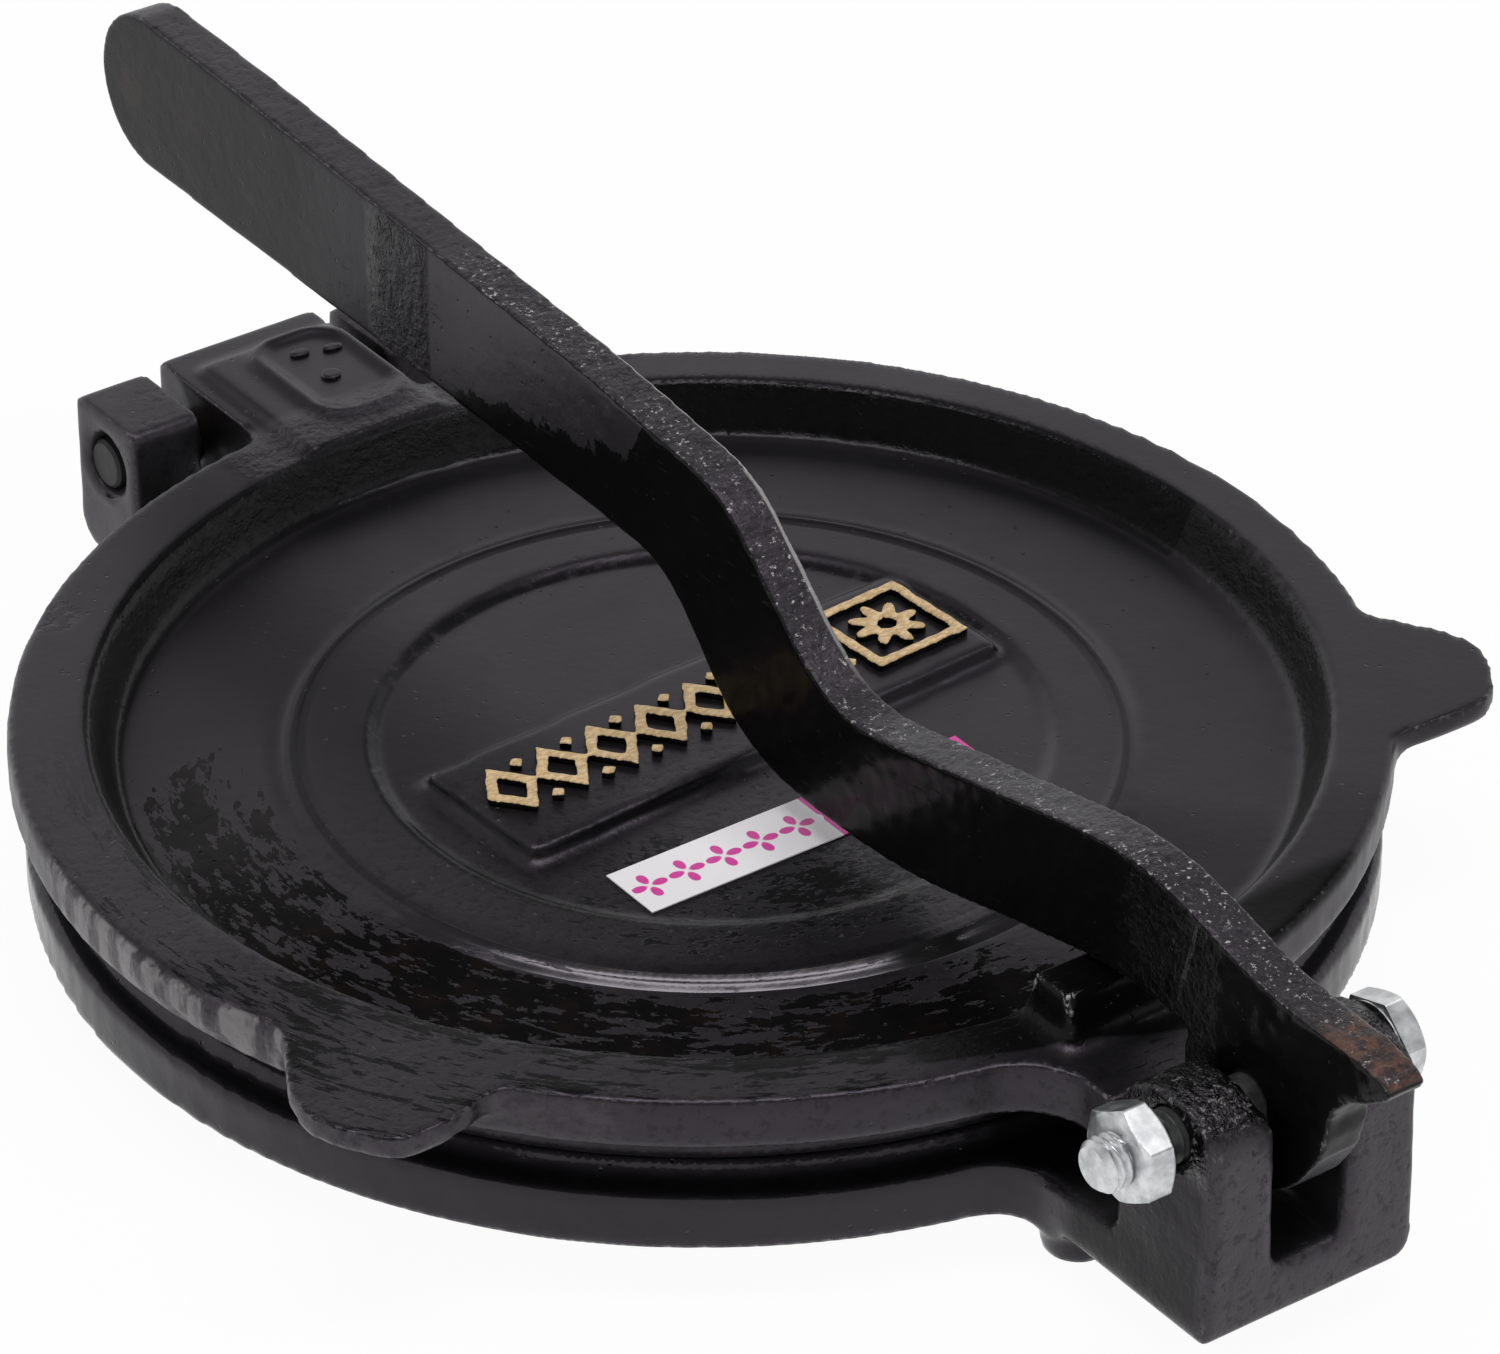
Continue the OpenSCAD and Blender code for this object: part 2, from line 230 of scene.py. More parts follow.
paper_half = 3.0  # half its width, in metres
paper_white = (0.86, 0.86, 0.86, 1)
shadow_share = 0.05

paper_mesh = bpy.data.meshes.new("paper")
sheet = bmesh.new()
bmesh.ops.create_grid(sheet, x_segments=8, y_segments=8, size=paper_half)
sheet.to_mesh(paper_mesh)
sheet.free()
paper = bpy.data.objects.new("paper", paper_mesh)
bpy.context.scene.collection.objects.link(paper)

paper_look, mix = surface("paper")
camera_ray, glossy_ray, passing_ray = (
    mix.node("LightPath", out=f"Is {kind} Ray") for kind in ("Camera", "Glossy", "Transmission")
)
seen = camera_ray.peak(glossy_ray).peak(passing_ray)
matt = mix.node("BsdfDiffuse", None, {"Color": paper_white})
white = mix.node("Emission", None, {"Color": (1, 1, 1, 1), "Strength": 1.0})
face = mix.node("MixShader", None, {0: seen * (1 - shadow_share), 1: matt, 2: white})
mix.node("OutputMaterial", None, {"Surface": face})
paper.data.materials.append(paper_look)

# ---- base plate ---------------------------------------------------------------
# The lower casting with the fork, the hinge ears and four feet: sand-cast iron, dipped
# in black enamel, which follows the sand's grain and pits and runs down. It carries the
# bolt and the hinge pin. The two other castings have the same enamel.

black = (0.0032, 0.0030, 0.0032, 1)
grey_haze = (0.034, 0.032, 0.034, 1)
# light grey for chips to bare iron and for painted glints on edges
iron_and_glint_grey = (0.42, 0.41, 0.40, 1)
rust_shades = ((0.07, 0.03, 0.016, 1), (0.17, 0.07, 0.03, 1))
satin_tint = (0.95, 0.83, 1.0, 1)
gloss_tint = (0.97, 0.90, 1.0, 1)


def enamel(name, marks):
    """The enamel: satin, glossy where it looks wet, and dull black for dull enamel and for
    painted shade and painted dark reflections.

    marks gives how coarse its skin is and its height in mm, and where it is
    wet-looking, dull or in painted shade, hazy, chipped to bare iron or lit by painted
    glints, or rusty, each from 0 to 1."""
    material, mix = surface(name)
    spot, x, y, z = mix.place()
    coarse, form, wet, dull_and_shade, haze, bare_and_glint, rust = marks(mix, spot, x, y, z)
    wave = mix.grain(spot, 9, detail=2)
    skin = mix.grain(spot, 1.5, detail=4, rough=0.6)
    peel = mix.grain(spot, 0.45, detail=2)
    dots = mix.node("TexVoronoi", None, {"Vector": spot, "Scale": 0.45}, "Distance")
    pits = dots.ramp(0.17, 0.06) * mix.grain(spot, 11).ramp(0.52, 0.6)
    depth = 0.022 * (1 - 0.85 * wet) + 0.13 * coarse
    normal = mix.relief(0.03 * wave + depth * skin + 0.003 * peel - 0.1 * pits + form)
    pores = skin.ramp(0.47, 0.36) * coarse.cap(1.0)
    dull_and_shade = dull_and_shade.peak(0.5 * pores * (1 - wet))
    red = mix.blend(mix.grain(spot, 1.1, detail=4), *rust_shades)
    colour = mix.blend(haze, black, grey_haze)
    colour = mix.blend(bare_and_glint, colour, iron_and_glint_grey)
    colour = mix.blend(rust, colour, red)
    finishes = (
        {
            "Roughness": 0.34 + 0.1 * wave + 0.1 * haze,
            "Specular IOR Level": 0.5,
            "Specular Tint": satin_tint,
        },
        {
            "Roughness": 0.08 + 0.3 * haze + 0.3 * bare_and_glint + 0.35 * rust,
            "Specular IOR Level": 0.4,
            "Specular Tint": gloss_tint,
        },
        {"Roughness": 0.25, "Specular IOR Level": 0.08},
    )
    paint = {"Base Color": colour, "Normal": normal}
    satin, gloss, dull = (mix.node("BsdfPrincipled", None, {**paint, **look}) for look in finishes)
    face = mix.node("MixShader", None, {0: wet, 1: satin, 2: gloss})
    face = mix.node("MixShader", None, {0: dull_and_shade, 1: face, 2: dull})
    mix.node("OutputMaterial", None, {"Surface": face})
    return material


def skinned(piece, voxel, passes):
    """Gives a piece a fine even mesh, voxel in mm, its edges melted as by a sand mould."""
    skin = piece.modifiers.new("skin", "REMESH")
    skin.mode = "VOXEL"
    skin.voxel_size = voxel / 1000
    melt = piece.modifiers.new("melt", "SMOOTH")
    melt.iterations = passes
    shown = piece.evaluated_get(bpy.context.evaluated_depsgraph_get())
    piece.data = bpy.data.meshes.new_from_object(shown)
    piece.modifiers.clear()
    piece.data.shade_smooth()


def cast_copy(node, name, voxel, passes):
    """A finely meshed copy of a CAD node."""
    mesh = cad[node].data.copy()
    shape = bmesh.new()
    shape.from_mesh(mesh)
    bmesh.ops.remove_doubles(shape, verts=shape.verts, dist=1e-6)
    shape.to_mesh(mesh)
    shape.free()
    mesh.materials.clear()
    piece = bpy.data.objects.new(name, mesh)
    bpy.context.scene.collection.objects.link(piece)
    skinned(piece, voxel, passes)
    return piece


def push(piece, node, lift):
    """Moves each vertex along its normal by lift(x, y, z, up), inside the CAD node's box.

    All of them are in millimetres, but up is how level the surface is, from 0 to 1."""
    low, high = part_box(node)
    normals = [v.normal.copy() for v in piece.data.vertices]
    for vertex, normal in zip(piece.data.vertices, normals):
        spot = vertex.co * 1000
        spot += normal * lift(*spot, abs(normal.z))
        for i in range(3):
            vertex.co[i] = min(max(spot[i] / 1000, low[i]), high[i])


def lumps(x, y, z, size, seed=0.0):
    """Smooth noise from -1 to 1, its lumps that many millimetres across."""
    return noise.noise(Vector((x / size + seed, y / size, z / size)))


def reach(node, axis):
    """From where to where a CAD node reaches along an axis, in millimetres."""
    low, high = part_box(node)
    return low[axis] * 1000, high[axis] * 1000


# y and z of the pivot bolt and of the hinge pin, from the joints on them
joint_places = {joint["name"]: joint["pos_m"] for joint in frame["joints"]}
pivot = [1000 * c for c in joint_places["lever_pivot"][1:]]
hinge = [1000 * c for c in joint_places["plate_hinge"][1:]]
bore_land = 6  # radius round a bore where the castings keep their exact shape


def near_bore(y, z):
    """Whether a spot is beside one of the two bores."""
    return any(math.dist((y, z), bore) < bore_land for bore in (pivot, hinge))


press_z = 17  # the pressing face
press_edge = 97
sole_h = 1
base_z = 5
neck_end = -105.5
fork_front = reach("base_plate", 1)[0]
dome_z = 28.6
cheek_x = -14
ear_front = 111
pin_end = reach("hinge_pin", 0)[0]


def base_lift(x, y, z, up):
    """The sides are uneven; the pressing face, the bores and the soles stay exact."""
    pressing = z > press_z - 0.4 and math.hypot(x, y) < press_edge
    if pressing or z < sole_h or near_bore(y, z):
        return 0.0
    side = 1.02 - up
    return side * (0.25 * lumps(x, y, z, 16) + 0.1 * lumps(x, y, z, 4, seed=7)) - 0.12


def base_marks(mix, spot, x, y, z):
    """The marks on the base's enamel."""
    broad = mix.grain(spot, 30)
    ripples = mix.grain(spot, 2.2, (0.7, 1, 1.8), detail=4, rough=0.6)
    scars = mix.grain(spot, 5, (0.6, 0.6, 1.4), detail=5, rough=0.7)
    chips = mix.grain(spot, 1.3, detail=5, rough=0.7)

    # The fork with its front face, domed top, floor and cheek, and the hinge ears
    fork = y.ramp(neck_end - 1.5, neck_end - 6.5)
    face = y.ramp(fork_front + 3.1, fork_front + 0.6)
    dome = fork * z.ramp(dome_z + 0.4, dome_z + 6.4) * (1 - face)
    floor = z.ramp(base_z + 3, base_z + 0.5) * fork * (1 - face)
    cheek = fork * x.ramp(cheek_x, cheek_x - 3.5) * (1 - face) * z.ramp(dome_z + 5.4, dome_z - 0.6)
    ear = y.ramp(ear_front - 7, ear_front - 1)

    # Below the pressing face the sides look wet, all but at the back
    below = z.ramp(press_z, press_z - 1) * y.ramp(95, 60)

    # The gap beside the pin's end in the left ear: a shallow groove, darkened with painted shadow
    along = y - (hinge[0] - 0.5)
    above = z - hinge[1]
    arc = (along * along + above * above) ** 0.5
    gap_shadow = arc.between((3.4, 3.8), (5.2, 4.7)) * y.ramp(121, 119.5) * x.ramp(pin_end, pin_end - 0.6)

    form = 0.16 * dome * ripples - 0.3 * face * scars.ramp(0.6, 0.68) - 0.4 * gap_shadow
    wet = dome.peak(0.6 * below).peak(floor) * (1 - face)
    # Painted shade as dull black: on the cheek's outer face beside the nut, in the gap round the pin
    # and on the fork's floor
    dull_and_shade = (cheek * (0.45 + 0.4 * broad)).peak(gap_shadow).peak(0.8 * floor)
    coarse = 0.25 + 2.6 * dome * ripples.ramp(0.35, 0.6) + 0.9 * face
    coarse = coarse + 0.6 * broad.ramp(0.5, 0.65) + 0.6 * cheek
    haze = (face * (0.1 + 1.1 * scars)).peak(0.75 * ear * ripples)
    haze = haze.peak(0.3 * fork * z.ramp(dome_z - 1.6, dome_z - 8.6))
    # Bright flecks on the edges and the dome: partly chips to bare iron, partly painted glints
    bare_and_glint = mix.edge(0.535, 0.565) * chips.ramp(0.52, 0.6) * 0.22
    bare_and_glint = bare_and_glint + dome * chips.ramp(0.56, 0.68) * 0.45
    return coarse, form, wet, dull_and_shade, haze * (1 - gap_shadow), bare_and_glint, 0.0


base = cast_copy("base_plate", "base_casting", voxel=0.98, passes=2)
push(base, "base_plate", base_lift)
base.data.materials.append(enamel("enamel_base", base_marks))
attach(base, "base")
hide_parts("base_plate")

# ---- upper plate --------------------------------------------------------------
# The upper casting with its recess, tabs, tongue, striker bar and hinge lug: sand-cast
# iron in black enamel, which stands in wet-looking pools and short dashes at the front
# left. It turns on the hinge pin.

plate_r = 101.5
plate_z = 31.4  # the top of the rim
recess_r = 90.8
recess_x = 0.6  # how far the recess lies off the plate's middle
unrolled_r = 78  # the radius where grain that runs round the recess has its true size
floor_z = reach("label", 2)[0]  # the recess's floor, on which the label lies
ring_out = 62
ring_in = 50.3
ring_h = 1
fillet = (ring_out - 0.7, ring_out + 3.3)  # where the ring's front fillet falls
fillet_slope = 0.5
bar_back = -90.8  # the striker bar's back
tongue_side = -28
closed_z = press_z + 1.4  # up to here the plate is hidden and keeps its exact shape
ding_place = (-67, 75, 31.3)


def plate_lift(x, y, z, up):
    """The sides are uneven; the pressing face and the bore stay exact."""
    if z < closed_z or near_bore(y, z):
        return 0.0
    side = 1.02 - up
    return side * (0.2 * lumps(x, y, z, 14, seed=3) + 0.12 * lumps(x, y, z, 3.5, seed=9)) - 0.1


def plate_marks(mix, spot, x, y, z):
    """The marks on the upper plate's enamel.

    turn goes about the recess's middle, and is 0 at -X and a quarter turn at -Y."""
    across = x - recess_x
    radius = (across * across + y * y) ** 0.5
    turn = (-y).math("ARCTAN2", -across)
    ring = mix.node("CombineXYZ", None, {0: turn * unrolled_r, 1: radius, 2: z})
    up = mix.up()
    torn = mix.grain(spot, 3.2, (1, 1, 0.7), detail=5, rough=0.65)

    # Wet pools on the recess floor at the front left, which fall outwards; their black is a
    # painted dark reflection
    band = radius.between((ring_out + 1, ring_out + 5), (recess_r - 0.8, recess_r - 3.8))
    band = band * turn.between((-0.95, -0.25), (1.95, 1.5))
    broad = mix.grain(ring, 15, (2.4, 0.75, 1), detail=3)
    mid = mix.grain(ring, 3.6, (2.8, 0.8, 1), detail=5, rough=0.62, twist=0.3)
    fine = mix.grain(ring, 1.5, (2.2, 1, 1), detail=4, rough=0.65)
    outer = turn.ramp(0.9, 1.3) * radius.ramp(72, 78)
    inner = turn.ramp(0.8, 1.0) * radius.ramp(74, 70)
    deep = 0.05 * outer - 0.06 * inner + 0.3 * (band - 1)
    pools = (0.22 * broad + 0.5 * mid + 0.38 * fine + deep).ramp(0.515, 0.53)
    waves = band * (0.1 * broad + 0.05 * mid - 0.11 * (radius - (ring_out + 4)))
    brown = pools * mix.grain(spot, 5, detail=4).ramp(0.45, 0.7) * 0.03

    # Short dashes on the front left's rim and inside the ring, thickest beside the rim's
    # inner edge and on the tab, painted dark as reflections of the dark ceiling
    front = turn.between((-0.6, 0.2), (2.0, 1.4))
    dashes = mix.grain(ring, 1.1, (3.2, 0.8, 1), detail=3, rough=0.6)
    clusters = mix.grain(ring, 16, (2, 0.7, 1))
    fingers = turn.between((0.3, 0.36), (0.9, 0.8)) * radius.ramp(plate_r - 4.5, plate_r - 2.5)
    near = radius.ramp(98, recess_r - 0.3) * (0.07 + 0.11 * radius.ramp(66, 80))
    near = near + clusters + 0.13 * fingers
    rim = radius.ramp(recess_r - 1.3, recess_r - 0.3) * z.ramp(plate_z - 0.5, plate_z - 0.2)
    middle = radius.between((20, 30), (ring_out - 2, ring_out - 4.5))
    middle = middle * turn.ramp(0.1, 0.7) * z.ramp(floor_z + 1.4, floor_z + 1.2)
    ink = front * (rim + 0.8 * middle) * (0.6 * dashes + 0.5 * near).ramp(0.605, 0.635)

    # The ring's outer fillet is drawn out and wet at the front. Elsewhere it looks nearly
    # flat, with a thin painted dark line left of it. Its inner edge gets painted shade but
    # for the front.
    brow = turn.between((0.1, 0.5), (2.3, 1.8))
    fall = fillet_slope * brow * (radius.cap(fillet[1]).peak(fillet[0]) - fillet[0])
    flattened = ring_h * (0.8 + 0.2 * brow) * radius.ramp(ring_out - 2.8, ring_out + 0.8)
    gleam = radius.between((fillet[0] - 0.3, fillet[0]), (fillet[1] + 0.1, fillet[1] - 0.1))
    gleam = gleam * brow * mid.ramp(0.64, 0.6)
    line = radius.between((ring_out - 1.7, ring_out - 1.2), (ring_out, ring_out - 0.5)) * (1 - brow)
    groove = radius.between((ring_in - 1.9, ring_in - 1.1), (ring_in + 1.1, ring_in + 0.1))
    groove = groove * turn.ramp(1.2, 0.6)

    # Torn skin on the recess wall and the neck of the hinge lug, and a ding in the rim
    wall = radius.between((recess_r - 4.8, recess_r - 2.8), (recess_r + 1.7, recess_r - 0.3))
    wall = wall * z.ramp(plate_z - 0.2, plate_z - 0.8)
    neck = y.between((86, 91), (103, 97)) * x.ramp(-24, -17) * z.ramp(24, 26)
    ding = mix.distance(spot, ding_place).ramp(6, 1) * torn.ramp(0.4, 0.6)
    form = waves - 0.03 * ink + flattened - fall
    form = form + 0.5 * neck * torn + 0.15 * wall * torn - 0.3 * ding

    # The tongue and the striker bar's sides get painted shade, the gate's stub is ground flat
    tongue = y.ramp(bar_back + 6.8, bar_back + 1.8) * x.ramp(tongue_side - 5, tongue_side)
    tongue = tongue * z.ramp(29, 31)
    beyond = (y + 97 + x * 0.45 + 5 * broad).ramp(-6.5, -5.5)
    bar_side = z.ramp(plate_z + 0.3, plate_z + 1)
    bar_skin = z.ramp(plate_z + 0.5, plate_z + 1.2) * y.ramp(bar_back + 4.8, bar_back + 1.8)
    bar_top = z.ramp(plate_z + 0.6, plate_z + 2.6) * y.ramp(bar_back + 2.8, bar_back + 0.8)
    gate = turn.between((-0.25, -0.15), (0.46, 0.4)) * radius.ramp(plate_r - 4.5, plate_r - 3.5)
    gate = gate * z.ramp(plate_z - 0.2, plate_z - 0.7)
    tab = turn.between((0.3, 0.36), (0.86, 0.8)) * radius.ramp(plate_r - 0.5, plate_r + 1.5)
    tab = tab * z.ramp(plate_z - 0.2, plate_z - 0.6)

    # Painted shade as dull black: the wall and its creases towards the back, steep sides
    # in the recess, the right
    shade = wall * (0.42 + 0.4 * turn.ramp(-0.5, -0.9) + 0.3 * x.ramp(20, 50))
    crease = radius.between((recess_r - 7.8, recess_r - 6.3), (recess_r + 3.2, recess_r + 1.7))
    crease = crease * up.ramp(0.995, 0.93) * turn.ramp(0.1, -0.3)
    steep = up.ramp(0.88, 0.6) * radius.ramp(ring_out + 4, ring_out + 2)
    steep = steep * (1 - brow * radius.ramp(ring_out - 4, ring_out - 2))
    right = x.ramp(20, 75) * y.ramp(60, 20)
    dull_and_shade = (0.93 * tongue * (beyond + bar_side).cap(1.0)).peak(0.85 * ink).peak(shade)
    dull_and_shade = dull_and_shade.peak(0.8 * steep).peak(0.86 * pools).peak(0.75 * crease).peak(0.22 * right)
    dull_and_shade = dull_and_shade.peak(0.7 * groove * torn.ramp(0.3, 0.5)).peak(0.5 * line)

    wet = pools.peak(wall).peak(bar_skin).peak(gleam)
    haze = (0.9 * gate * torn.ramp(0.2, 0.7)).peak(0.9 * tab * torn.ramp(0.35, 0.6))
    haze = haze.peak(0.12 * neck).peak(0.35 * gleam)
    # Flecks on the edges and the striker bar's front: partly chips to bare iron, partly painted
    # glints; the gate's stub is scratched bare
    chips = mix.grain(spot, 1.2, detail=5, rough=0.7)
    bare_and_glint = mix.edge(0.53, 0.56) * (chips.ramp(0.52, 0.6) * 0.25 + bar_top * chips.ramp(0.5, 0.6))
    bare_and_glint = bare_and_glint + gate * mix.grain(ring, 2.5, (1, 1, 5)).ramp(0.42, 0.6) * 0.34
    smoother = turn.between((-1.3, -1.0), (1, 0))
    coarse = 0.05 + 0.5 * front * (1 - pools.peak(gleam)) + 1.6 * neck + gate
    coarse = coarse + wall * torn.ramp(0.35, 0.6) * (1 - 0.8 * smoother)
    return coarse, form, wet, dull_and_shade, haze, bare_and_glint, brown


plate = cast_copy("upper_plate", "upper_casting", voxel=0.98, passes=2)
push(plate, "upper_plate", plate_lift)
enamel_plate = enamel("enamel_plate", plate_marks)
plate.data.materials.append(enamel_plate)
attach(plate, "top")
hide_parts("upper_plate")

# ---- name pad ornament --------------------------------------------------------
# Raised cast ornament on the name pad, a row of lozenges and a rosette in a square,
# with gilt paint brushed over its top. It is cast in one with the upper plate.

pad_middle = (4, 3.1)
pad_turn = math.radians(3.5)
ornament_foot = 25.6  # sunk in the pad by 0.3
ornament_h = 1.5
band_width = 1.7
lozenge = (4.6, 6.4)  # half its length and half its width
lozenge_place = (-37.5, 0.8)  # the first one's middle on the pad
lozenge_pitch = 9.2
lozenge_count = 7
stud = (1.25, 1.25)
stud_rows = (-4.2, 5.8)
rosette_place = (33.4, 0.6)
rosette_frame = (12.2, 12.2)
petal = (2.3, 1.05)
petal_count = 8
petal_reach = 3.6
wobble = 0.22
gilt_edge = (26.98, 27.08)  # the brush painted what stands above this
gilt_shades = ((0.50, 0.34, 0.17, 1), (0.76, 0.57, 0.33, 1))
ornament_black = (0.0032, 0.0028, 0.0034, 1)


def shifted(shape, verts, size=(1, 1), turn=0.0, at=(0, 0)):
    """Sizes, turns and moves new vertices flat on the pad, in mm."""
    bmesh.ops.scale(shape, verts=verts, vec=(*size, 1))
    bmesh.ops.rotate(shape, verts=verts, matrix=Matrix.Rotation(turn, 3, "Z"))
    bmesh.ops.translate(shape, verts=verts, vec=(*at, 0))


def disc(shape, sides, size, turn=0.0, at=(0, 0), start=0.0):
    """A flat shape of so many sides. start turns it before it is sized."""
    made = bmesh.ops.create_circle(shape, cap_ends=True, segments=sides, radius=1)["verts"]
    shifted(shape, made, turn=start)
    shifted(shape, made, size, turn, at)
    return made[0].link_faces[0]


def hollow(shape, face, band):
    """Leaves a band that wide along the face's edge."""
    bmesh.ops.inset_individual(shape, faces=[face], thickness=band, use_even_offset=True)
    bmesh.ops.delete(shape, geom=[face], context="FACES_ONLY")


def raised(shape, name, height, turn, at, voxel):
    """A piece made of flat faces raised to a height, then turned and put in its place."""
    grown = bmesh.ops.extrude_face_region(shape, geom=shape.faces[:])["geom"]
    grown = [v for v in grown if isinstance(v, bmesh.types.BMVert)]
    bmesh.ops.translate(shape, verts=grown, vec=(0, 0, height))
    bmesh.ops.recalc_face_normals(shape, faces=shape.faces)
    place = Matrix.Scale(0.001, 4) @ Matrix.Translation(at) @ Matrix.Rotation(turn, 4, "Z")
    bmesh.ops.transform(shape, verts=shape.verts, matrix=place)
    mesh = bpy.data.meshes.new(name)
    shape.to_mesh(mesh)
    shape.free()
    piece = bpy.data.objects.new(name, mesh)
    bpy.context.scene.collection.objects.link(piece)
    skinned(piece, voxel, 3)
    return piece


ornament = bmesh.new()
for i in range(lozenge_count):
    middle = lozenge_place[0] + lozenge_pitch * i
    hollow(ornament, disc(ornament, 4, lozenge, at=(middle, lozenge_place[1])), band_width)
    for row in stud_rows:
        disc(ornament, 4, stud, at=(middle + lozenge_pitch / 2, row))
hollow(ornament, disc(ornament, 4, rosette_frame, at=rosette_place, start=math.pi / 4), band_width)
for i in range(petal_count):
    turn = i * 2 * math.pi / petal_count
    along = rosette_place[0] + petal_reach * math.cos(turn)
    across = rosette_place[1] + petal_reach * math.sin(turn)
    disc(ornament, 12, petal, turn, (along, across))
pad_place = (*pad_middle, ornament_foot)
pad_ornament = raised(ornament, "pad_ornament", ornament_h, pad_turn, pad_place, voxel=0.32)
for vertex in pad_ornament.data.vertices:
    spot = vertex.co * 1000
    vertex.co.x += wobble * lumps(*spot, 2.1, seed=2) / 1000
    vertex.co.y += wobble * lumps(*spot, 2.1, seed=6) / 1000

gilt, mix = surface("gilt_relief")
spot, x, y, z = mix.place()
brushed = mix.grain(spot, 1.1, (1, 0.5, 1), detail=4, rough=0.6)
paint = (z + 0.5 * brushed).ramp(*gilt_edge)
shade = mix.blend(brushed.ramp(0.35, 0.7), *gilt_shades)
look = {
    "Base Color": mix.blend(paint, ornament_black, shade),
    "Roughness": 0.12 + 0.35 * paint,
    "Specular IOR Level": 0.26,
    "Normal": mix.relief(0.02 * brushed + 0.01 * mix.grain(spot, 0.5)),
}
mix.cover(look)
pad_ornament.data.materials.append(gilt)
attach(pad_ornament, "top")

# ---- lug marks ----------------------------------------------------------------
# A foundry's plain tally inside the bead on the hinge lug: two short leaning bars and
# a thicker stud. It is cast in one with the upper plate and has the same enamel.

tally_foot = plate_z + 1
tally_h = 0.75
tally_lean = math.radians(-8)

tally = bmesh.new()
disc(tally, 12, (1.7, 1.0), tally_lean, (4.4, 116.4))
disc(tally, 12, (1.7, 0.9), tally_lean, (9.6, 115.0))
disc(tally, 12, (1.7, 1.5), 0, (4.8, 108.0))
lug_tally = raised(tally, "lug_tally", tally_h, 0, (0, 0, tally_foot), voxel=0.22)
lug_tally.data.materials.append(enamel_plate)
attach(lug_tally, "top")

# ---- lever --------------------------------------------------------------------
# A flat cast iron lever with a cranked middle: black enamel over a coarse skin, worn
# to the iron along its upper edge near the fork. It turns on the pivot bolt.

strip_span = ((66, 69), (84, 79))  # along Y
crook_span = ((-98, -104), (-124, -117))  # along Y
dip_start = (56, 57)  # y and z where the wet black's upper line starts on the handle
dip_rise = 0.2
crank_y = 16  # from here to the fork the line rises more steeply
crank_rise = 1.4
drip_place = (-114, 50)  # y and z
drip_lean = 0.25
dimple_places = ((-4, 151.4, 67.6), (-4, 133.2, 69))


def lever_lift(x, y, z, up):
    """The lever is uneven all over but for its bore, and more so towards the fork."""
    if near_bore(y, z):
        return 0.0
    rough = 0.04 + 0.12 * min(1, max(0, (50 - y) / 60))
    return rough * (lumps(x, y, z, 9, seed=5) + 0.6 * lumps(x, y, z, 2.5, seed=1)) - 0.12


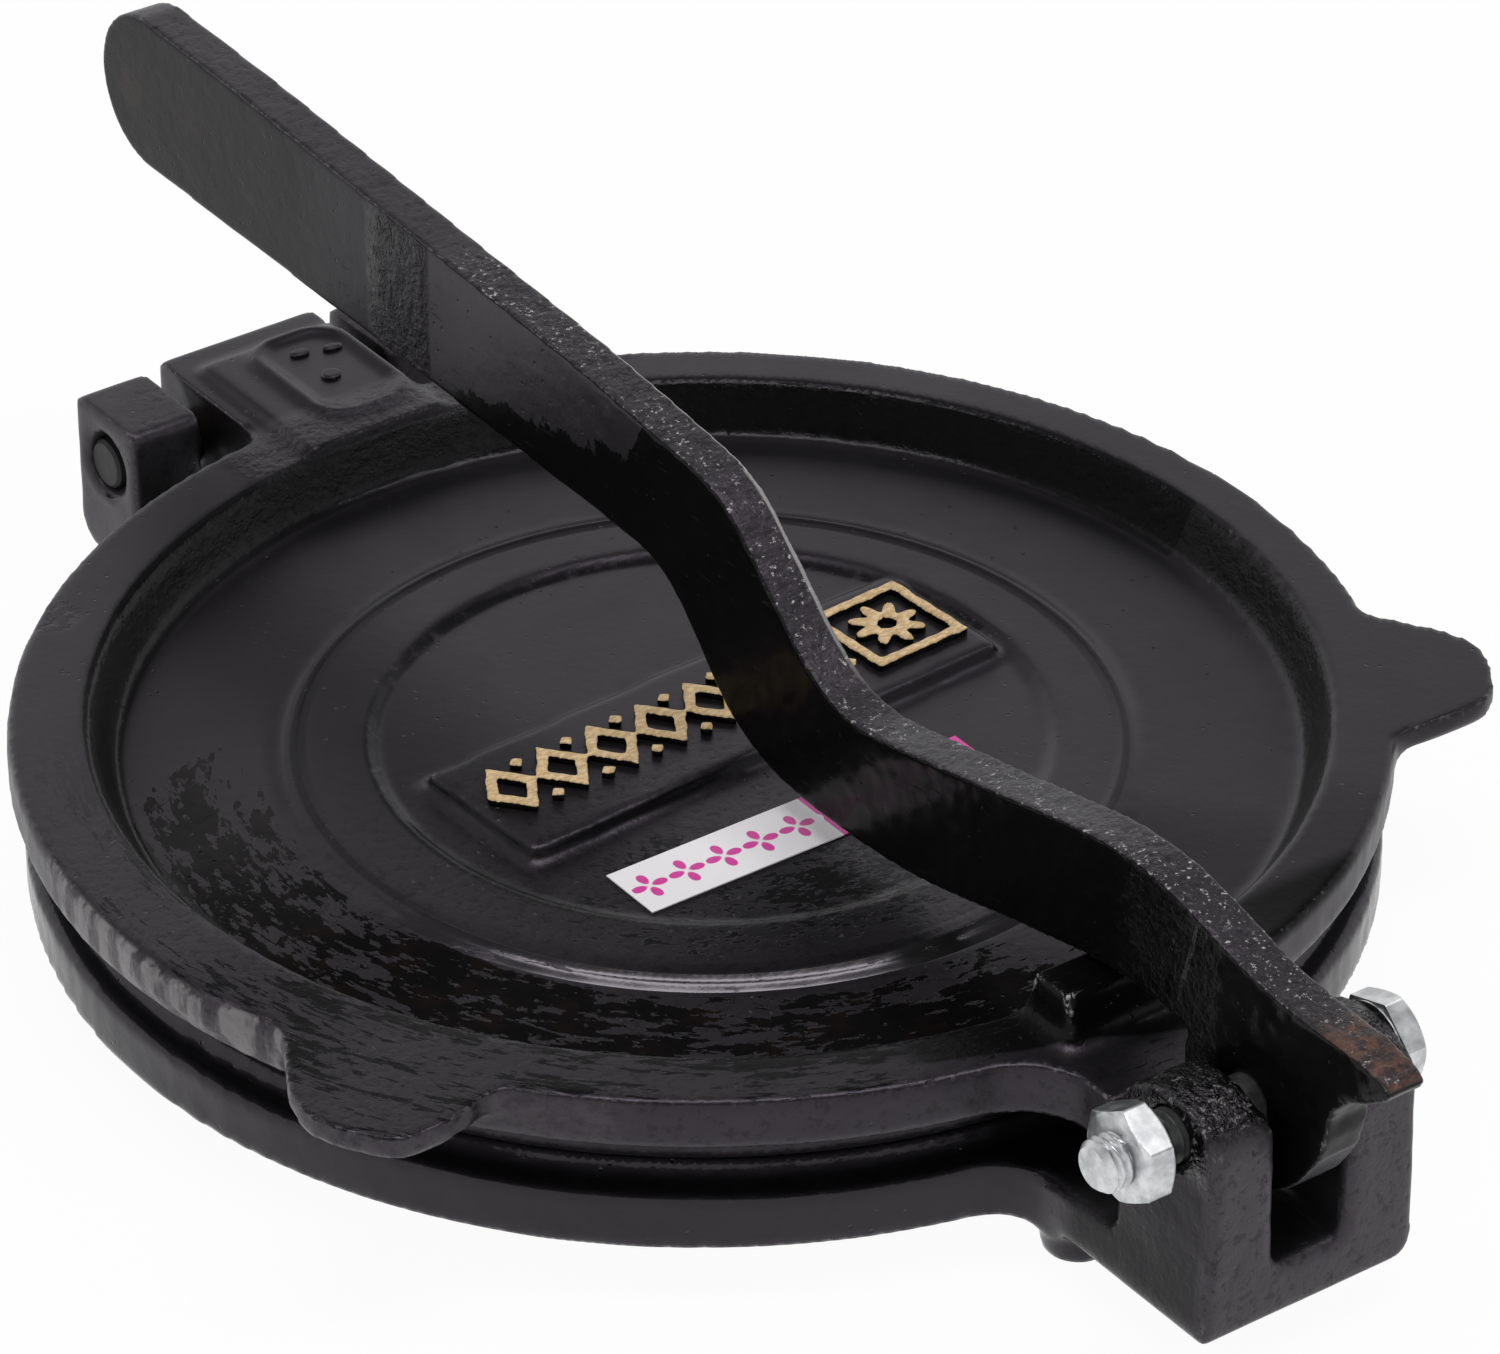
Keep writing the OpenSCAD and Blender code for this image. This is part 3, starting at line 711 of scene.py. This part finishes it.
def lever_marks(mix, spot, x, y, z):
    """The marks on the lever's enamel."""
    up = mix.up()
    top = up.ramp(0.45, 0.75)
    side = 1 - abs(up).ramp(0.3, 0.5)
    torn = mix.grain(spot, 2.4, (1, 0.8, 1), detail=5, rough=0.65)
    ridges = mix.grain(spot, 1.6, (1.4, 0.45, 1), detail=4, rough=0.6, twist=0.4)
    scratches = mix.grain(spot, 3.5, (1, 2.2, 0.25), detail=5, rough=0.7)
    pocks = mix.grain(spot, 3.4, detail=5, rough=0.75)
    chips = mix.grain(spot, 0.9, detail=5, rough=0.75)
    flecks = mix.grain(spot, 9, (1, 2.2, 1))

    # A torn strip on the handle, a painted dark line along the left side's brim, a painted
    # glint on the far edge at the crank, the crook before the fork with its drip, the heel's
    # end, and two dimples
    strip = side * y.between(*strip_span) * torn.ramp(0.3, 0.5)
    brim_shade = up.between((0.1, 0.3), (0.8, 0.6)) * x.ramp(-2.9, -3.2) * y.ramp(68, 64)
    glint = up.between((0.35, 0.55), (0.97, 0.9)) * x.ramp(2.6, 2.9)
    glint = glint * y.between((-40, -20), (36, 28))
    crook = side * y.between(*crook_span)
    drip = (y - drip_place[0] + drip_lean * (z - drip_place[1])) * 0.9
    drip = abs(drip).ramp(1.6, 0.8) * z.between((42, 45), (58, 55))
    hub = y.ramp(-146, -149) * z.ramp(48, 46)
    worn = top * y.ramp(66, 55)
    dimples = [mix.distance(spot, place) for place in dimple_places]
    blots = dimples[0].ramp(3.6, 3.0).peak(0.6 * dimples[1].ramp(2.8, 1.4))

    # Below a ragged line the sides are wet black, where the dip ran down and pooled; their
    # black is painted, standing in for the dark plate they mirror
    ragged = 12 * mix.grain(spot, 9, detail=5, rough=0.62) + 7 * torn - 9.5
    line = dip_start[1] + (dip_start[0] - y) * dip_rise
    line = line + (crank_y - y).peak(0.0) * crank_rise + ragged
    run = side * (line - z).ramp(0, 0.7) * y.ramp(62, 57)
    streaks = crook * torn.ramp(0.42, 0.55)

    coarse = 0.1 + 0.3 * side * torn + 5.0 * strip + 2.6 * crook * torn.ramp(0.3, 0.5)
    coarse = coarse + 0.5 * top + 1.8 * worn + 4.0 * hub
    form = 0.12 * worn * y.ramp(-110, -70) * ridges + 0.4 * drip * side + 0.4 * strip * torn
    form = form - 0.05 * side * scratches.ramp(0.63, 0.7)
    form = form - 0.12 * side * y.ramp(40, 70) * pocks.ramp(0.66, 0.72)
    # Dull black: painted shade on the sides, darker towards the handle's end, along the brim and on
    # the top towards the fork, with dull enamel on the worn ridges, the strip and the hub
    dull_and_shade = side * (0.12 + 0.4 * y.ramp(50, 76) + 0.18 * y.ramp(85, 110))
    dull_and_shade = dull_and_shade.peak(0.45 * worn * ridges.ramp(0.52, 0.36)).peak(0.5 * strip).peak(0.3 * hub)
    dull_and_shade = dull_and_shade.peak(run * (0.72 + 0.2 * y.ramp(-118, -108)) * (1 - 0.75 * streaks))
    dull_and_shade = dull_and_shade.peak(0.75 * brim_shade).peak(0.2 * top * y.ramp(-10, -60))
    haze = (0.35 * hub).peak(0.12 * top)
    rust = top * y.ramp(-138, -147) * (0.1 + 0.6 * torn.ramp(0.44, 0.6))
    bare_and_glint = mix.edge(0.53, 0.56) * chips.ramp(0.5, 0.6) * 0.3
    bare_and_glint = bare_and_glint + worn * chips.ramp(0.585, 0.64) * flecks.ramp(0.38, 0.52)
    bare_and_glint = bare_and_glint + 0.25 * hub * chips.ramp(0.5, 0.65) + 0.6 * glint
    return coarse, form, run, dull_and_shade, haze, bare_and_glint * (1 - rust), rust.peak(0.07 * blots)


lever = cast_copy("lever", "lever_casting", voxel=0.5, passes=4)
push(lever, "lever", lever_lift)
lever.data.materials.append(enamel("enamel_lever", lever_marks))
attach(lever, "lever")
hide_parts("lever")

# ---- bolt and nut -------------------------------------------------------------
# A zinc-plated steel M8 bolt through the fork, with a real thread at its tip, and its
# nut, left short of the cheek. Both hexagons keep the turned chamfer of their faces, and
# the shank from the nut through the fork is painted near-black as shade between the parts.

tip_x, top_x = reach("pivot_bolt", 0)
nut_x = reach("pivot_nut", 0)
head_x = top_x - 4
shank_r = 3.97
thread_end = -8
thread_root = 3.35
thread_depth = 0.62
thread_pitch = 1.25
half_flats = 6.45
chamfer_r = 7.55
chamfer_slope = 1.7
chamfer_h = 0.7
washer_r = 6.3
washer_h = 0.3
head_corner = math.radians(42.8)
nut_corner = math.radians(91)
shaded_span = ((-21.4, -20.8), (18.1, 17.9))  # along X
zinc_shades = ((0.45, 0.46, 0.47, 1), (0.74, 0.75, 0.76, 1))
shade_black = (0.003, 0.0028, 0.0025, 1)

zinc, mix = surface("zinc")
spot, x, y, z = mix.place()
cloud = mix.grain(spot, 3.0, detail=4)
lathe_marks = mix.grain(spot, 0.35, (6, 1, 1), detail=2)
# painted shade on the shank between the nut and the far cheek
painted_shade = x.between(*shaded_span) * (1 - 0.2 * cloud)
look = {
    "Base Color": mix.blend(painted_shade, mix.blend(cloud.ramp(0.35, 0.7), *zinc_shades), shade_black),
    "Metallic": 1.0 - painted_shade,
    "Specular IOR Level": 0.04,
    "Roughness": 0.27 + 0.2 * cloud,
    "Normal": mix.relief(0.012 * lathe_marks + 0.02 * cloud),
}
mix.cover(look)


def turned(name, rows, columns, radius, x0, x1):
    """A zinc bar along X about the pivot, its radius in mm given by x in mm and the turn."""
    shape = bmesh.new()
    line = [shape.verts.new((x0 + (x1 - x0) * i / rows, 5, 0)) for i in range(rows + 1)]
    line += [shape.edges.new(pair) for pair in zip(line, line[1:])]
    full = {"angle": 2 * math.pi, "steps": columns, "use_merge": True}
    bmesh.ops.spin(shape, geom=line, cent=(0, 0, 0), axis=(1, 0, 0), **full)
    ends = [e for e in shape.edges if e.is_boundary]
    bmesh.ops.holes_fill(shape, edges=ends, sides=0)
    for vertex in shape.verts:
        x = vertex.co.x
        turn = math.atan2(vertex.co.z, vertex.co.y)
        r = radius(x, turn)
        at = (x, pivot[0] + r * math.cos(turn), pivot[1] + r * math.sin(turn))
        vertex.co = Vector(at) / 1000
    bmesh.ops.recalc_face_normals(shape, faces=shape.faces)
    mesh = bpy.data.meshes.new(name)
    shape.to_mesh(mesh)
    shape.free()
    mesh.shade_smooth()
    mesh.set_sharp_from_angle(angle=math.radians(35))
    mesh.materials.append(zinc)
    piece = bpy.data.objects.new(name, mesh)
    bpy.context.scene.collection.objects.link(piece)
    return piece


def shank_radius(x, turn):
    """The shank with its thread and its rounded tip."""
    phase = (x / thread_pitch - turn / (2 * math.pi)) % 1
    tooth = 1 - abs(2 * phase - 1)
    thread = thread_root + thread_depth * min(1, 1.25 * tooth) if x < thread_end else shank_r
    return min(thread, thread_root - 0.3 + 0.9 * (x - tip_x))


def hexagon(turn, corner):
    """Radius of a 13 mm hexagon, corner being the turn of one of its corners."""
    part = (turn - corner) % (math.pi / 3) - math.pi / 6
    return half_flats / math.cos(part)


def head_radius(x, turn):
    """The head: a washer face below, and a chamfer above."""
    chamfer = chamfer_r - chamfer_slope * max(0, x - (top_x - chamfer_h))
    washer = washer_r if x < head_x + washer_h else chamfer_r
    return min(hexagon(turn, head_corner), chamfer, washer)


def nut_radius(x, turn):
    """The nut, with a chamfer at both ends."""
    into = max(0, nut_x[0] + chamfer_h - x, x - (nut_x[1] - chamfer_h))
    return min(hexagon(turn, nut_corner), chamfer_r - chamfer_slope * into)


shank = turned("bolt_shank", 300, 48, shank_radius, tip_x, head_x + 0.1)
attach(shank, "base")
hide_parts("pivot_bolt")

head = turned("bolt_head", 44, 180, head_radius, head_x, top_x)
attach(head, "base")
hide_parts("pivot_bolt")

nut = turned("nut_body", 48, 180, nut_radius, *nut_x)
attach(nut, "base")
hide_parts("pivot_nut")

# ---- hinge pin ----------------------------------------------------------------
# A plain steel pin driven through both ears before the dip, so enamel covers its
# ends; between the ears it is bare and dulled.

bare_end = 19
painted_start = 21
dull_steel = ((0.05, 0.045, 0.04, 1), (0.11, 0.07, 0.045, 1))
painted_steel = (0.026, 0.025, 0.026, 1)

steel, mix = surface("pin_steel")
spot, x, y, z = mix.place()
cloud = mix.grain(spot, 2.0, detail=4)
painted = abs(x).ramp(bare_end, painted_start)
shade = mix.blend(cloud.ramp(0.5, 0.66), *dull_steel)
look = {
    "Base Color": mix.blend(painted, shade, painted_steel),
    "Metallic": 0.6 * (1 - painted),
    "Roughness": 0.4 + 0.25 * cloud,
    "Specular IOR Level": 0.26,
    "Normal": mix.relief(0.08 * cloud),
}
mix.cover(look)
cad["hinge_pin"].data.materials.clear()
cad["hinge_pin"].data.materials.append(steel)

# ---- label --------------------------------------------------------------------
# Printed plastic film stuck on the recess's floor: a row of small magenta flowers on a
# white part, and of large white ones on a magenta part.

label_y = sum(reach("label", 1)) / 2
small_row = (-29.2, 6.5, 3.1)  # the first flower's x, the pitch and the flowers' size
small_span = ((-32.2, -32.0), (-0.2, -0.4))
large_row = (6.4, 9.4, 4.4)
magenta_from = (0.9, 1.1)
film_white = (0.87, 0.85, 0.87, 1)
magenta = (0.66, 0.048, 0.34, 1)

film, mix = surface("label_film")
spot, x, y, z = mix.place()


def flowers(first, pitch, size):
    """1 inside a row of flowers of four petals, from the first one's x onwards."""
    u = (x - first).math("PINGPONG", pitch / 2)
    v = y - label_y
    far = (u * u + v * v) ** 0.5
    petals = size * abs(u * u - v * v) - far * far * far
    return petals.ramp(0.0, 1.2)


magenta_part = x.ramp(*magenta_from)
small = flowers(*small_row) * x.between(*small_span)
large = flowers(*large_row)
ink = small.peak(magenta_part) - large * magenta_part
look = {
    "Base Color": mix.blend(ink, film_white, magenta),
    "Roughness": 0.28 + 0.12 * mix.grain(spot, 4),
    "Normal": mix.relief(0.01 * mix.grain(spot, 6)),
}
mix.cover(look)
cad["label"].data.materials.clear()
cad["label"].data.materials.append(film)
